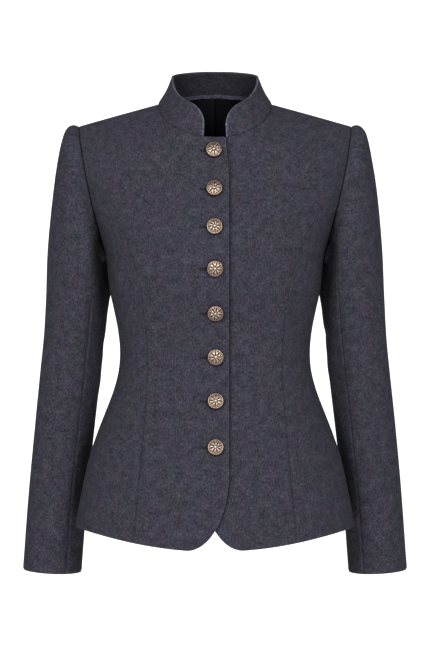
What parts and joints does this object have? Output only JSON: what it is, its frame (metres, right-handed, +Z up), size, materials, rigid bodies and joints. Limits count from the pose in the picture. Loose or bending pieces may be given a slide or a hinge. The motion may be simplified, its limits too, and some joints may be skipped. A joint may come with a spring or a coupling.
{
  "type": "trachten jacket",
  "caption": "Fitted wool jacket with a stand collar, shaped seams, set-in sleeves and a buttoned front with rounded corners, hollow as if worn.",
  "frame": {"origin": "between the two neck points of the shoulder line, where the wearer's neck and shoulders carry the jacket", "axes": "+Z up, -Y out of the front, +X towards the wearer's left"},
  "size_m": [0.5412, 0.2793, 0.7054],
  "materials": {
    "wool": "matte milled wool, charcoal melange",
    "lining": "smooth dark satin",
    "button_metal": "aged, embossed"
  },
  "bodies": {
    "root": {"front_right": "wool", "front_left": "wool", "side_front_right": "wool", "side_front_left": "wool", "side_back_right": "wool", "side_back_left": "wool", "back": "wool", "collar": "wool", "sleeve_upper_right": "wool", "sleeve_upper_left": "wool", "sleeve_under_right": "wool", "sleeve_under_left": "wool", "back_lining": "lining", "button_1": "button_metal", "button_2": "button_metal", "button_3": "button_metal", "button_4": "button_metal", "button_5": "button_metal", "button_6": "button_metal", "button_7": "button_metal", "button_8": "button_metal"}
  },
  "joints": []
}
